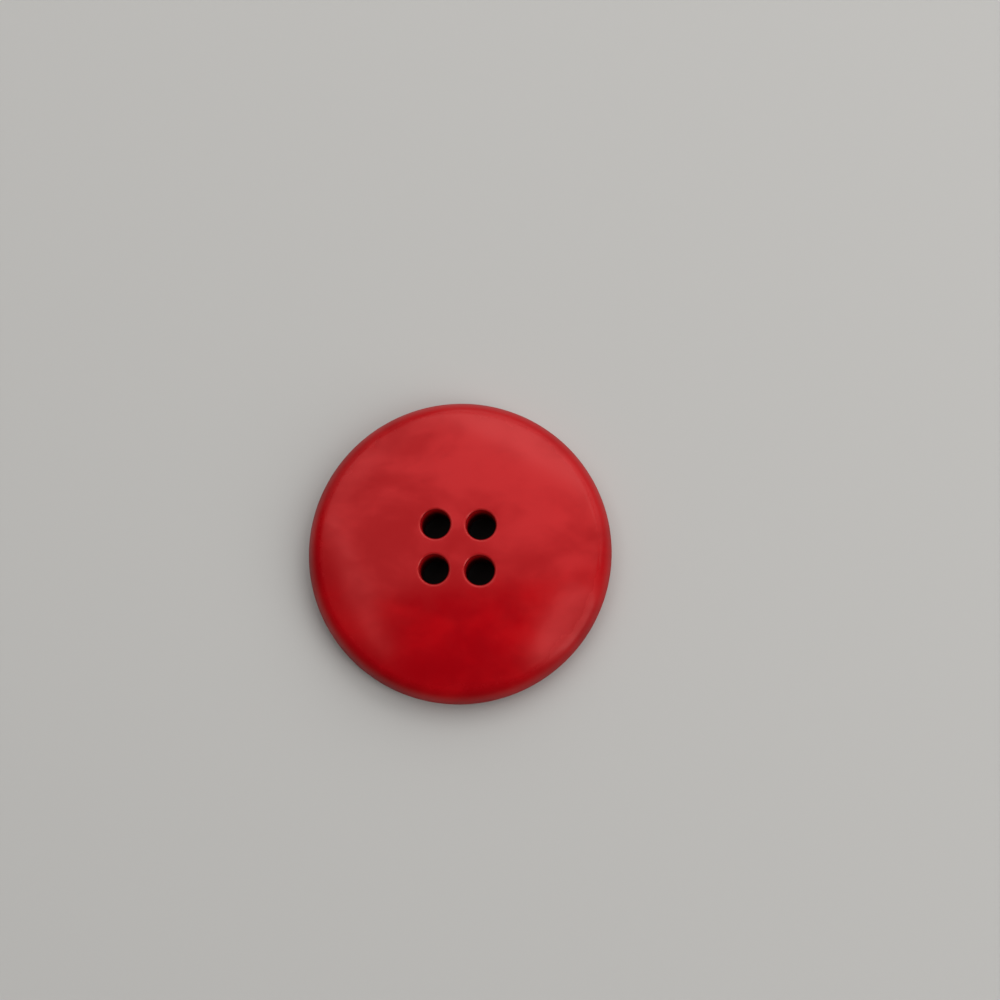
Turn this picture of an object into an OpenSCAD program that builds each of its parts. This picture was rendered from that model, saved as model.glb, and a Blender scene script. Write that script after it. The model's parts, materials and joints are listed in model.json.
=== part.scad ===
// Four-hole sewing button, moulded and drilled in one piece.
// The origin is the centre of the flat back, and the domed face looks along +Z.

/* [Button] */
// Diameter across the widest line of the rim
diameter = 23; // [18:0.5:32]
// Thickness through the middle, from the back to the top of the dome
thickness = 4; // [3.3:0.05:5]
// Height of the widest line of the rim above the back
rim_height = 1.25; // [1:0.05:2]

/* [Face] */
// Radius of the rounded edge between the dome and the rim
face_edge_r = 1.5; // [0.6:0.05:2.2]

/* [Back] */
// Diameter of the flat middle of the back
back_flat_d = 14; // [9:0.5:18]
// Radius of the rounded edge between the back and the rim
back_edge_r = 0.9; // [0.4:0.05:1.1]

/* [Thread holes] */
// Diameter of each hole
hole_d = 2.2; // [1.2:0.1:2.6]
// Distance between the centres of neighbouring holes
hole_pitch = 3.4; // [3:0.1:5]
// Width of the softened lip at both ends of each hole
lip = 0.2; // [0.1:0.05:0.35]
// Degrees by which the lip's arc stops short of lying flush with the bore and with the face
lip_break = 15; // [8:1:30]

/* [Hidden] */
$fn = 96;

// How far the cutting shapes reach past what they cut
overcut = 1;
rim_r = diameter / 2;
back_flat_r = back_flat_d / 2;
dome_rise = thickness - rim_height;
hole_r = hole_d / 2;
// Radius of the lip's arc, and how far its centre lies below the face and outside the bore
lip_arc_r = lip / (cos(lip_break) - sin(lip_break));
lip_depth = lip_arc_r * cos(lip_break);
hole_places = [for (x = [-1, 1], y = [-1, 1]) [x, y] * hole_pitch / 2];

// Radius of the crown arc that starts level and runs smoothly into the edge arc of the rim
function crown_r(reach, rise, edge_r) =
    (reach ^ 2 + rise ^ 2 - edge_r ^ 2) / (2 * (rise - edge_r));

dome_r = crown_r(rim_r - face_edge_r, dome_rise, face_edge_r);

// Half of the button's section, from the plane of its widest line (y = 0) up to one of its faces
module half_section(flat_r, rise, edge_r) {
    edge_x = rim_r - edge_r;
    arc_r = crown_r(edge_x - flat_r, rise, edge_r);
    // The two arcs meet on the line through both of their centres
    lean = asin((edge_x - flat_r) / (arc_r - edge_r));
    past_meeting = [edge_x, 0] + (edge_r + overcut) * [sin(lean), cos(lean)];
    if (flat_r > 0)
        square([flat_r, rise]);
    intersection() {
        translate([flat_r, rise - arc_r])
            circle(arc_r);
        polygon([[flat_r, 0], [edge_x, 0], past_meeting, [flat_r, rise + overcut]]);
    }
    intersection() {
        translate([edge_x, 0])
            circle(edge_r);
        polygon([
            [edge_x, 0],
            [rim_r + overcut, 0],
            [rim_r + overcut, past_meeting[1]],
            past_meeting
        ]);
    }
}

// The disc before its holes are drilled
module blank() {
    rotate_extrude()
        translate([0, rim_height]) {
            half_section(0, dome_rise, face_edge_r);
            mirror([0, 1])
                half_section(back_flat_r, rim_height, back_edge_r);
        }
}

// What the rounded lip takes away around the mouth of a hole, with the face at z = lip_depth
module lip_cutter() {
    rotate_extrude()
        difference() {
            square([hole_r + lip_depth, lip_depth + overcut]);
            translate([hole_r + lip_depth, 0])
                circle(lip_arc_r);
        }
}

// One hole along Z, its upper lip square to the dome where the hole comes out
module thread_hole(place) {
    lean = asin(norm(place) / dome_r);
    mouth_z = thickness - dome_r * (1 - cos(lean));
    translate([place[0], place[1], 0]) {
        translate([0, 0, -overcut])
            cylinder(r = hole_r, h = thickness + 2 * overcut);
        translate([0, 0, mouth_z - lip_depth])
            rotate([0, lean, atan2(place[1], place[0])])
                lip_cutter();
        translate([0, 0, lip_depth])
            mirror([0, 0, 1])
                lip_cutter();
    }
}

module button() {
    color([0.66, 0.03, 0.06])
        difference() {
            blank();
            for (place = hole_places)
                thread_hole(place);
        }
}

button();
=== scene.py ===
import json
import math

import bmesh
import bpy
from mathutils import Matrix, Vector, noise


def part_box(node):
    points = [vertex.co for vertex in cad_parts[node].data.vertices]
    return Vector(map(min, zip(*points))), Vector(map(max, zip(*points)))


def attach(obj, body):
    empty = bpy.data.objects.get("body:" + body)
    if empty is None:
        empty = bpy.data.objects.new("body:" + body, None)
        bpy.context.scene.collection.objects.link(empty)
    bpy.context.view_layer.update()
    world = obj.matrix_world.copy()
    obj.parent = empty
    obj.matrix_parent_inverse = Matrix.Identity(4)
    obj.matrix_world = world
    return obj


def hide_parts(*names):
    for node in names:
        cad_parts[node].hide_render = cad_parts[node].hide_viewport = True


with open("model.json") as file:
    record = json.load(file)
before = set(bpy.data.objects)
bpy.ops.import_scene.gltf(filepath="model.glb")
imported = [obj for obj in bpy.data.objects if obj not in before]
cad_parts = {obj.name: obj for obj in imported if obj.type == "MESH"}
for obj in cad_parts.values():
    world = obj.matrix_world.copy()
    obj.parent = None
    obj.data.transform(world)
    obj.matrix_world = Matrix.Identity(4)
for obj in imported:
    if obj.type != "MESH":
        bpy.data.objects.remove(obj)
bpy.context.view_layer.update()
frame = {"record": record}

# Camera
# It looks almost straight down on the face, from a hand's width above it and a little to the near right,
# and is rolled slightly, so that the rows of holes lie a little askew.
MM = 0.001
eye = Vector((9.3, -18.4, 128.6)) * MM
aim = Vector((3.0, 3.85, 2.5)) * MM
roll = math.radians(1.63)
lens_mm = 61.2
sensor_mm = 36
nearest = 1 * MM
farthest = 10

ahead = (aim - eye).normalized()
level_right = ahead.cross(Vector((0, 1, 0))).normalized()
right = Matrix.Rotation(-roll, 3, ahead) @ level_right
up = right.cross(ahead)
camera_data = bpy.data.cameras.new("camera")
camera_data.lens = lens_mm
camera_data.sensor_width = sensor_mm
camera_data.clip_start = nearest
camera_data.clip_end = farthest
camera = bpy.data.objects.new("camera", camera_data)
camera.matrix_world = Matrix.Translation(eye) @ Matrix((right, up, -ahead)).transposed().to_4x4()
bpy.context.collection.objects.link(camera)
bpy.context.scene.camera = camera

# Button
# A disc of red plastic, moulded in one piece and polished by tumbling, with a slightly cloudy colour. Its
# face is a low dome that rolls over a rounded rim to a back with a flat middle. Four thread holes are
# drilled straight through, and the tumbling has rounded their lips.
low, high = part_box("button")
rim_r = (high[0] - low[0]) / 2
thickness = high[2] - low[2]
rim_height = 1.25 * MM
face_edge_r = 1.5 * MM
back_edge_r = 0.9 * MM
back_flat_r = 7 * MM
lip_r = 0.2 * MM
bores = [mount for mount in frame["record"]["mounts"] if mount["kind"] == "bore"]
hole_r = bores[0]["dims"]["r_mm"] * MM
hole_places = [Vector(bore["pos_m"][:2]) for bore in bores]

# The mesh is a square cell round each hole, a ring round the four cells, and the turned section outside it.
# Its steps go round each hole, over a lip, from a lip to its cell's edge, from the cells to the ring, along
# the dome, each edge of the rim and the curve of the back, and down a bore.
half_cell = abs(hole_places[0].x)
ring_r = 5.6 * MM
hole_steps = 128
lip_steps = 8
cell_steps = 6
blend_steps = 7
dome_steps = 24
edge_steps = 20
back_steps = 10
bore_steps = 8


def crown(reach, rise, edge_r):
    """Radius and end angle of an arc that starts level and runs smoothly into an edge arc of the rim."""
    arc_r = (reach ** 2 + rise ** 2 - edge_r ** 2) / (2 * (rise - edge_r))
    return arc_r, math.asin(reach / (arc_r - edge_r))


dome_r, dome_end = crown(rim_r - face_edge_r, thickness - rim_height, face_edge_r)
back_r, back_end = crown(rim_r - back_edge_r - back_flat_r, rim_height, back_edge_r)


def dome_z(x, y):
    """Height of the domed face over a point of the plan."""
    return thickness - dome_r + math.sqrt(dome_r ** 2 - x ** 2 - y ** 2)


def arc(centre_r, centre_z, arc_r, begin, end, steps):
    """Points (radius, height) along an arc, without its first one, by angles from straight up."""
    points = []
    for i in range(1, steps + 1):
        a = begin + (end - begin) * i / steps
        points.append((centre_r + arc_r * math.sin(a), centre_z + arc_r * math.cos(a)))
    return points


def section():
    """The button's section, from the ring round the holes over the rim to the flat of the back."""
    ring_turn = math.asin(ring_r / dome_r)
    points = arc(0, thickness - dome_r, dome_r, ring_turn, dome_end, dome_steps)
    points += arc(rim_r - face_edge_r, rim_height, face_edge_r, dome_end, math.pi / 2, edge_steps)
    points += arc(rim_r - back_edge_r, rim_height, back_edge_r, math.pi / 2, math.pi - back_end, edge_steps)
    points += arc(back_flat_r, back_r, back_r, math.pi - back_end, math.pi, back_steps)
    return points


def turns(count):
    """Angles that go once round in even steps."""
    return [2 * math.pi * k / count for k in range(count)]


def heading(turn):
    """A step of length one in the plan, turned from +X."""
    return Vector((math.cos(turn), math.sin(turn)))


def cell_edge(turn):
    """Point on the edge of a hole's square cell, seen from the hole's centre."""
    toward = heading(turn)
    return toward * half_cell / max(abs(toward.x), abs(toward.y))


body = bmesh.new()


def strip(one, other, finish):
    """Fill the band between two closed rows of corners with four-sided faces of one finish."""
    count = len(one)
    for i in range(count):
        j = (i + 1) % count
        body.faces.new((one[i], one[j], other[j], other[i])).material_index = finish


def hole_rows(centre, level):
    """Rows of corners from a bore's mouth over its lip to its cell's edge, on the face or on the back."""
    plan_rows = []
    for i in range(lip_steps + 1):
        a = math.pi / 2 * i / lip_steps
        reach = hole_r + lip_r * (1 - math.cos(a))
        drop = lip_r * (1 - math.sin(a))
        plan_rows.append([(centre + reach * heading(t), drop) for t in turns(hole_steps)])
    lip_end = hole_r + lip_r
    for i in range(1, cell_steps + 1):
        share = i / cell_steps
        steps_out = [(lip_end * heading(t)).lerp(cell_edge(t), share) for t in turns(hole_steps)]
        plan_rows.append([(centre + step, 0) for step in steps_out])
    return [[body.verts.new((p.x, p.y, level(p, drop))) for p, drop in row] for row in plan_rows]


def face_level(point, drop):
    """Height of the face at a point of the plan, where a lip drops from it."""
    return dome_z(point.x, point.y) - drop


def back_level(point, drop):
    """Height of the back, which is flat round the holes, where a lip rises from it."""
    return drop


polished = 0
drilled = 1
for centre in hole_places:
    face_rows = hole_rows(centre, face_level)
    back_rows = hole_rows(centre, back_level)
    for inner, outer in zip(face_rows, face_rows[1:]):
        strip(outer, inner, polished)
    for inner, outer in zip(back_rows, back_rows[1:]):
        strip(inner, outer, polished)
    mouth = face_rows[0]
    outlet = back_rows[0]
    walls = [mouth]
    for i in range(1, bore_steps):
        share = i / bore_steps
        walls.append([body.verts.new(top.co.lerp(foot.co, share)) for top, foot in zip(mouth, outlet)])
    walls.append(outlet)
    for upper, lower in zip(walls, walls[1:]):
        strip(upper, lower, drilled)

# The edge of the four cells together, going round once
side_steps = hole_steps // 4
one_cell = [cell_edge(2 * math.pi * (k - side_steps / 2) / hole_steps).y for k in range(side_steps)]
two_cells = [y - half_cell for y in one_cell] + [y + half_cell for y in one_cell]
square = []
for quarter in range(4):
    quarter_turn = Matrix.Rotation(quarter * math.pi / 2, 2)
    square += [quarter_turn @ Vector((2 * half_cell, y)) for y in two_cells]
start_turn = math.atan2(square[0].y, square[0].x)
round_turns = [start_turn + t for t in turns(len(square))]


def ring_points(share):
    """Plan points round the button, part of the way from the edge of the cells to the ring round them."""
    return [corner.lerp(ring_r * heading(t), share) for corner, t in zip(square, round_turns)]


skin_rows = []
for i in range(blend_steps + 1):
    plan = ring_points(i / blend_steps)
    skin_rows.append([body.verts.new((p.x, p.y, dome_z(p.x, p.y))) for p in plan])
for r, z in section():
    skin_rows.append([body.verts.new((r * math.cos(t), r * math.sin(t), z)) for t in round_turns])
for i in range(blend_steps, -1, -1):
    plan = ring_points(i / blend_steps)
    skin_rows.append([body.verts.new((p.x, p.y, 0)) for p in plan])
for inner, outer in zip(skin_rows, skin_rows[1:]):
    strip(outer, inner, polished)

merge_gap = 0.0005 * MM
bmesh.ops.remove_doubles(body, verts=body.verts, dist=merge_gap)
bmesh.ops.recalc_face_normals(body, faces=body.faces)
for face in body.faces:
    face.smooth = True

# The tumbled face is wavy by about a fiftieth of a millimetre, and the rim has one small nick
wave_height = 0.03 * MM
wave_length = 5.5 * MM
wave_fade = 1 * MM
nick_place = Vector((-6.65, 7.9, 2.71)) * MM
nick_reach = 0.38 * MM
nick_depth = 0.04 * MM
body.normal_update()
for vert in body.verts:
    above_rim = min(max((vert.co.z - rim_height) / wave_fade, 0), 1)
    wave = noise.noise(vert.co / wave_length)
    away = (vert.co - nick_place).length / nick_reach
    vert.co -= vert.normal * nick_depth * math.exp(-away ** 2)
    vert.co.z += above_rim * wave_height * wave

button_mesh = bpy.data.meshes.new("button_plastic")
body.to_mesh(button_mesh)
body.free()
button = bpy.data.objects.new("button_plastic", button_mesh)
bpy.context.collection.objects.link(button)

# Cloudy colour, which the polished and the drilled plastic share: pale drifts in a deeper red, with painted
# light that makes it paler towards the thin rim, as if light shone through it, and towards the far right,
# where the main lamps stand
drift_turn = math.radians(73.5)
drift_place = Vector((184.6, -131, -181.8)) * MM
drift_stretch = (1, 1.63, 1)
patch_scale = 0.107 / MM
fleck_scale = 0.3 / MM
fleck_share = 0.28
painted_light_slope = Vector((0.6, 0.8, 0)) * 0.1 / rim_r
painted_glow_middle = -0.05
painted_glow_rim = 0.03
cloud_start = 0.34
cloud_full = 0.74
clouds_and_painted_light = bpy.data.node_groups.new("cloudy colour with painted light", "ShaderNodeTree")
clouds_and_painted_light.interface.new_socket("Deep", in_out="INPUT", socket_type="NodeSocketColor")
clouds_and_painted_light.interface.new_socket("Pale", in_out="INPUT", socket_type="NodeSocketColor")
clouds_and_painted_light.interface.new_socket("Colour with painted light", in_out="OUTPUT", socket_type="NodeSocketColor")
clouds_and_painted_light.interface.new_socket("Cloud and painted light", in_out="OUTPUT", socket_type="NodeSocketFloat")


def add(tree, kind, inputs, **settings):
    """A new node in a tree with its settings, and its inputs joined to other nodes or set to values."""
    node = tree.nodes.new("ShaderNode" + kind)
    for name, value in settings.items():
        setattr(node, name, value)
    for name, value in inputs.items():
        if isinstance(value, bpy.types.NodeSocket):
            tree.links.new(value, node.inputs[name])
        else:
            node.inputs[name].default_value = value
    return node


def ramp(tree, value, start, end, first, last, easing="LINEAR"):
    """A value that goes from first to last while another goes from start to end, and stays there beyond."""
    mapped = add(tree, "MapRange", {
        "Value": value,
        "From Min": start,
        "From Max": end,
        "To Min": first,
        "To Max": last,
    }, interpolation_type=easing)
    return mapped.outputs["Result"]


def total(tree, one, other):
    """The sum of two values."""
    return add(tree, "Math", {0: one, 1: other}, operation="ADD").outputs["Value"]


def mix(tree, share, one, other, way="MIX"):
    """A colour between two, or the first times the second, by a share."""
    mixed = add(tree, "MixRGB", {"Fac": share, "Color1": one, "Color2": other}, blend_type=way)
    return mixed.outputs["Color"]


def from_axis(tree, point):
    """How far a point stands from the upright axis through the origin."""
    flat = add(tree, "VectorMath", {0: point, 1: (1, 1, 0)}, operation="MULTIPLY")
    return add(tree, "VectorMath", {0: flat.outputs["Vector"]}, operation="LENGTH").outputs["Value"]


cloud_point = add(clouds_and_painted_light, "TexCoord", {}).outputs["Object"]
drift = add(clouds_and_painted_light, "Mapping", {
    "Vector": cloud_point,
    "Location": drift_place,
    "Rotation": (0, 0, drift_turn),
    "Scale": drift_stretch,
})
patches = add(clouds_and_painted_light, "TexNoise", {
    "Vector": drift.outputs["Vector"],
    "Scale": patch_scale,
    "Detail": 4,
    "Roughness": 0.5,
    "Distortion": 0.5,
})
flecks = add(clouds_and_painted_light, "TexNoise", {
    "Vector": drift.outputs["Vector"],
    "Scale": fleck_scale,
    "Detail": 3,
    "Roughness": 0.55,
    "Distortion": 0.4,
})
# Painted light: paler towards the far right, where the main lamps stand, and towards the thin rim
painted_light_toward_lamps = add(clouds_and_painted_light, "VectorMath", {0: cloud_point, 1: painted_light_slope}, operation="DOT_PRODUCT")
painted_rim_glow = ramp(clouds_and_painted_light, from_axis(clouds_and_painted_light, cloud_point), 0, rim_r, painted_glow_middle, painted_glow_rim)
painted_light = total(clouds_and_painted_light, painted_light_toward_lamps.outputs["Value"], painted_rim_glow)
speckled = ramp(clouds_and_painted_light, flecks.outputs["Fac"], 0, 1, -fleck_share, fleck_share)
broken = total(clouds_and_painted_light, patches.outputs["Fac"], speckled)
drift_and_painted_light = total(clouds_and_painted_light, broken, painted_light)
cloud_and_painted_light = ramp(clouds_and_painted_light, drift_and_painted_light, cloud_start, cloud_full, 0, 1, "SMOOTHSTEP")
reds = clouds_and_painted_light.nodes.new("NodeGroupInput")
cloudy_red_with_painted_light = mix(clouds_and_painted_light, cloud_and_painted_light, reds.outputs["Deep"], reds.outputs["Pale"])
results = clouds_and_painted_light.nodes.new("NodeGroupOutput")
clouds_and_painted_light.links.new(cloudy_red_with_painted_light, results.inputs["Colour with painted light"])
clouds_and_painted_light.links.new(cloud_and_painted_light, results.inputs["Cloud and painted light"])

# Polished plastic: glossy on the face and duller down the side of the rim, with fine marks from tumbling.
# Painted shade darkens its colour down the side of the rim and just inside the mouths of the holes, and a
# painted pale sheen rings their lips
deep_red = (0.375, 0.0004, 0.004, 1)
pale_red = (0.505, 0.0012, 0.005, 1)
mirror_level = 0.6
mirror_tint = (1, 0.2, 0.18, 1)
painted_side_shade = (0.66, 0.8, 0.65, 1)
side_top = 3.3 * MM
side_dullness = 0.45
dull_top = 2.85 * MM
dull_full = 1.5 * MM
lip_sheen_red = (0.5, 0.045, 0.04, 1)
lip_sheen = 0.4
lip_sheen_start = hole_r + 0.3 * lip_r
lip_sheen_end = hole_r + 1.3 * lip_r
lip_shade = (0.16, 0.0006, 0.0018, 1)
lip_shade_share = 0.8
lip_shade_end = hole_r + 0.6 * lip_r
rub_scale = 0.6 / MM
rub_least = 0.3
rub_most = 0.7
shiny = 0.16
satin = 0.26
film_roughness = 0.14
film_thin = 0.04
film_thick = 0.27
mark_scale = 3 / MM
mark_strength = 0.08
mark_height = 0.01 * MM


def red_plastic(name, deep, pale):
    """A finish of the plastic, cloudy between two reds with painted light, given back as its nodes, shader
    and clouds.
    """
    finish = bpy.data.materials.new(name)
    finish.use_nodes = True
    shader = finish.node_tree.nodes["Principled BSDF"]
    shader.inputs["Specular IOR Level"].default_value = mirror_level
    shader.inputs["Specular Tint"].default_value = mirror_tint
    cloudy = add(finish.node_tree, "Group", {}, node_tree=clouds_and_painted_light)
    cloudy.inputs["Deep"].default_value = deep
    cloudy.inputs["Pale"].default_value = pale
    button_mesh.materials.append(finish)
    return finish.node_tree, shader, cloudy


skin, skin_shader, skin_clouds_and_painted_light = red_plastic("polished red plastic", deep_red, pale_red)
skin_point = add(skin, "TexCoord", {}).outputs["Object"]
skin_height = add(skin, "SeparateXYZ", {"Vector": skin_point}).outputs["Z"]
down_from_face = ramp(skin, skin_height, side_top, rim_height, 0, 1, "SMOOTHSTEP")
up_from_back = ramp(skin, skin_height, 0, rim_height, 0, 1, "SMOOTHSTEP")
rim_side = add(skin, "Math", {0: down_from_face, 1: up_from_back}, operation="MULTIPLY").outputs["Value"]
# Painted shade: the colour is darkened down the side of the rim
shaded_red = mix(skin, rim_side, skin_clouds_and_painted_light.outputs["Colour with painted light"], painted_side_shade, "MULTIPLY")

# The four holes fold onto one, so that one distance gives the lips of them all
folded = add(skin, "VectorMath", {0: skin_point}, operation="ABSOLUTE")
hole_centre = (half_cell, half_cell, 0)
hole_point = add(skin, "VectorMath", {0: folded.outputs["Vector"], 1: hole_centre}, operation="SUBTRACT")
hole_distance = from_axis(skin, hole_point.outputs["Vector"])
# Painted highlight: a pale sheen rings the lips of the holes
painted_lip_sheen = ramp(skin, hole_distance, lip_sheen_start, lip_sheen_end, lip_sheen, 0, "SMOOTHSTEP")
# Painted shade: darker just inside the mouths of the holes
painted_lip_shade = ramp(skin, hole_distance, hole_r, lip_shade_end, lip_shade_share, 0, "SMOOTHSTEP")
sheened_red = mix(skin, painted_lip_sheen, shaded_red, lip_sheen_red)
lip_shaded_red = mix(skin, painted_lip_shade, sheened_red, lip_shade)
skin.links.new(lip_shaded_red, skin_shader.inputs["Base Color"])

rubbed = add(skin, "TexNoise", {"Vector": skin_point, "Scale": rub_scale, "Detail": 4, "Roughness": 0.6})
face_roughness = ramp(skin, rubbed.outputs["Fac"], rub_least, rub_most, shiny, satin)
dulled = ramp(skin, skin_height, dull_top, dull_full, 0, side_dullness)
skin_roughness = add(skin, "Math", {
    0: dulled,
    1: up_from_back,
    2: face_roughness,
}, operation="MULTIPLY_ADD")
skin.links.new(skin_roughness.outputs["Value"], skin_shader.inputs["Roughness"])

# The last polish lies on it as a thin clear film, thicker where the colour is pale, and ends at the side
skin_shader.inputs["Coat Roughness"].default_value = film_roughness
face_film = ramp(skin, skin_clouds_and_painted_light.outputs["Cloud and painted light"], 0, 1, film_thin, film_thick)
film = ramp(skin, rim_side, 0, 1, face_film, 0)
skin.links.new(film, skin_shader.inputs["Coat Weight"])

marks = add(skin, "TexNoise", {"Vector": skin_point, "Scale": mark_scale, "Detail": 3, "Roughness": 0.6})
skin_relief = add(skin, "Bump", {
    "Height": marks.outputs["Fac"],
    "Strength": mark_strength,
    "Distance": mark_height,
})
skin.links.new(skin_relief.outputs["Normal"], skin_shader.inputs["Normal"])

# Drilled plastic: the walls of the holes, duller and ringed by the drill, with reds paler than the face's
# as painted light, and painted shade that darkens them deeper inside
# Painted light: the walls' reds are paler than the face's
wall_lit_deep_red = (0.46, 0.001, 0.0045, 1)
wall_lit_pale_red = (0.56, 0.0025, 0.008, 1)
wall_shade = (0.05, 0.0006, 0.0012, 1)
wall_shade_top = 3.6 * MM
wall_shade_full = 1.6 * MM
drill_scale = 2.1 / MM
drill_smooth = 0.4
drill_rough = 0.55
drill_strength = 0.3
drill_height = 0.01 * MM
wall, wall_shader, wall_clouds_and_painted_light = red_plastic("drilled red plastic", wall_lit_deep_red, wall_lit_pale_red)
wall_point = add(wall, "TexCoord", {}).outputs["Object"]
wall_height = add(wall, "SeparateXYZ", {"Vector": wall_point}).outputs["Z"]
# Painted shade: darker deeper inside the bores
painted_wall_shade = ramp(wall, wall_height, wall_shade_top, wall_shade_full, 0, 1, "SMOOTHSTEP")
wall_red = mix(wall, painted_wall_shade, wall_clouds_and_painted_light.outputs["Colour with painted light"], wall_shade)
wall.links.new(wall_red, wall_shader.inputs["Base Color"])
drill_rings = add(wall, "TexWave", {
    "Vector": wall_point,
    "Scale": drill_scale,
    "Distortion": 3,
    "Detail": 2,
}, wave_type="BANDS", bands_direction="Z")
wall_roughness = ramp(wall, drill_rings.outputs["Fac"], 0, 1, drill_smooth, drill_rough)
wall.links.new(wall_roughness, wall_shader.inputs["Roughness"])
wall_relief = add(wall, "Bump", {
    "Height": drill_rings.outputs["Fac"],
    "Strength": drill_strength,
    "Distance": drill_height,
})
wall.links.new(wall_relief.outputs["Normal"], wall_shader.inputs["Normal"])

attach(button, "root")
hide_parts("button")

# Floor and light
# A round sheet of plain pale paper lies under the button and sweeps up at its edge, behind the lamps. Soft
# boxes stand behind the button to both sides and at its near right, a wide one hangs overhead, and a narrow
# one hangs to the left of that. The side towards the camera stays unlit.
floor_r = 0.55
sweep_r = 0.16
sweep_turn = math.radians(75)
sweep_steps = 16
floor_sides = 96
paper_colour = (0.54, 0.53, 0.51, 1)
paper_roughness = 0.9
paper_sheet = bmesh.new()
paper_rows = []
for i in range(sweep_steps + 1):
    a = sweep_turn * i / sweep_steps
    r = floor_r + sweep_r * math.sin(a)
    z = sweep_r * (1 - math.cos(a))
    paper_rows.append([
        paper_sheet.verts.new((r * math.cos(t), r * math.sin(t), z)) for t in turns(floor_sides)
    ])
paper_sheet.faces.new(paper_rows[0])
for inner, outer in zip(paper_rows, paper_rows[1:]):
    for i in range(floor_sides):
        j = (i + 1) % floor_sides
        paper_sheet.faces.new((inner[i], outer[i], outer[j], inner[j])).smooth = True
floor_mesh = bpy.data.meshes.new("floor")
paper_sheet.to_mesh(floor_mesh)
paper_sheet.free()
floor = bpy.data.objects.new("floor", floor_mesh)
bpy.context.collection.objects.link(floor)


def plain_finish(name, colour, roughness):
    """A plain finish for what the button lies on."""
    finish = bpy.data.materials.new(name)
    finish.use_nodes = True
    shader = finish.node_tree.nodes["Principled BSDF"]
    shader.inputs["Base Color"].default_value = colour
    shader.inputs["Roughness"].default_value = roughness
    return finish


floor_mesh.materials.append(plain_finish("pale paper", paper_colour, paper_roughness))

# A dark disc lies hidden under the button as painted shade, so that its holes look dark
shade_disc_r = 4.5 * MM
shade_disc_z = 0.01 * MM
shade_disc_sides = 48
shade_disc_colour = (0.012, 0.011, 0.01, 1)
shade_disc_roughness = 0.95
shade_disc_rim = [(shade_disc_r * math.cos(t), shade_disc_r * math.sin(t), shade_disc_z) for t in turns(shade_disc_sides)]
shade_disc_mesh = bpy.data.meshes.new("shade_disc")
shade_disc_mesh.from_pydata(shade_disc_rim, [], [range(shade_disc_sides)])
shade_disc = bpy.data.objects.new("shade_disc", shade_disc_mesh)
bpy.context.collection.objects.link(shade_disc)
shade_disc_mesh.materials.append(plain_finish("painted shade", shade_disc_colour, shade_disc_roughness))

lamp_distance = 0.5


def soft_box(name, azimuth, elevation, turn, width, height, power):
    """A lamp that faces the button: place and turn in degrees, size in metres and power in watts."""
    lamp = bpy.data.lights.new(name, "AREA")
    lamp.shape = "RECTANGLE"
    lamp.size = width
    lamp.size_y = height
    lamp.energy = power
    box = bpy.data.objects.new(name, lamp)
    az = math.radians(azimuth)
    el = math.radians(elevation)
    toward = Vector((math.cos(az) * math.cos(el), math.sin(az) * math.cos(el), math.sin(el)))
    facing = toward.to_track_quat("Z", "Y").to_matrix() @ Matrix.Rotation(math.radians(turn), 3, "Z")
    box.matrix_world = facing.to_4x4()
    box.location = toward * lamp_distance
    bpy.context.collection.objects.link(box)


soft_box("back right box", azimuth=58, elevation=35.5, turn=0, width=0.88, height=0.40, power=1.53)
soft_box("near right box", azimuth=-26, elevation=40, turn=0, width=0.21, height=0.58, power=0.83)
soft_box("low right box", azimuth=-28, elevation=32, turn=0, width=0.28, height=0.36, power=0.32)
soft_box("overhead box", azimuth=91, elevation=67, turn=7.5, width=0.72, height=0.44, power=1.24)
soft_box("left box", azimuth=182, elevation=60.1, turn=25.5, width=0.34, height=0.05, power=0.067)
soft_box("back left box", azimuth=133, elevation=32, turn=0, width=0.36, height=0.36, power=0.18)

room_light = 0.06
world = bpy.data.worlds.new("room")
world.use_nodes = True
background = world.node_tree.nodes["Background"]
background.inputs["Color"].default_value = (1, 1, 1, 1)
background.inputs["Strength"].default_value = room_light
bpy.context.scene.world = world
bpy.context.scene.view_settings.view_transform = "Standard"
